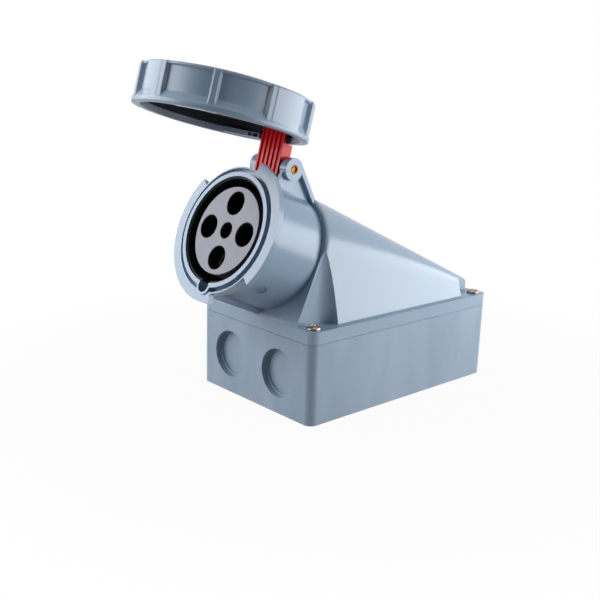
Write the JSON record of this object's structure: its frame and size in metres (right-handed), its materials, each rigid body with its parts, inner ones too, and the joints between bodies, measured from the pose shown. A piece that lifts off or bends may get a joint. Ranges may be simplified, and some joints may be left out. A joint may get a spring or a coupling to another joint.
{
  "type": "industrial wall socket",
  "caption": "Surface mounting industrial socket: back box, sloping cover, round bayonet collar with contacts and a hinged red lid with a twist ring.",
  "frame": {"origin": "centre of the flat wall face of the back box", "axes": "+Z away from the wall, -Y towards the side that the socket looks to, X across"},
  "size_m": [0.126, 0.2864, 0.2461],
  "materials": {
    "housing_grey": "semi-gloss moulded blue-grey",
    "ring_grey": "semi-gloss moulded blue-grey",
    "carrier_grey": "matt moulded lavender grey",
    "lid_red": "semi-gloss moulded red",
    "seal_black": "matt black rubber",
    "contact_metal": "plated contact metal",
    "pin_brass": "bright brass",
    "screw_steel": "bright steel"
  },
  "bodies": {
    "housing": {"base_box": "housing_grey", "cover_seal": "seal_black", "cover_housing": "housing_grey", "socket_collar": "housing_grey", "hinge_pin": "pin_brass", "collar_liner": "seal_black", "contact_carrier": "carrier_grey", "cover_screw_front_left": "screw_steel", "cover_screw_front_right": "screw_steel", "cover_screw_rear_left": "screw_steel", "cover_screw_rear_right": "screw_steel", "carrier_screw_upper_right": "screw_steel", "carrier_screw_lower_right": "screw_steel", "carrier_screw_lower_left": "screw_steel", "carrier_screw_upper_left": "screw_steel", "phase_contact_1": "contact_metal", "terminal_screw_phase_1": "screw_steel", "phase_contact_2": "contact_metal", "terminal_screw_phase_2": "screw_steel", "phase_contact_3": "contact_metal", "terminal_screw_phase_3": "screw_steel", "earth_contact": "contact_metal", "terminal_screw_earth": "screw_steel", "pilot_contact": "contact_metal", "terminal_screw_pilot": "screw_steel"},
    "lid": {"lid_cap": "lid_red", "lid_gasket": "seal_black"},
    "ring": {"bayonet_ring": "ring_grey", "ring_retainer": "seal_black"}
  },
  "joints": [
    {"name": "lid_hinge", "type": "hinge", "parent": "housing", "child": "lid", "pos_m": [0, -0.08086, 0.17485], "axis": [1, 0, 0], "range_deg": [-25, 81]},
    {"name": "ring_twist", "type": "hinge", "parent": "lid", "child": "ring", "pos_m": [0, -0.13055, 0.20577], "axis": [0, 0.2588, 0.9659], "range_deg": [0, 46]}
  ]
}
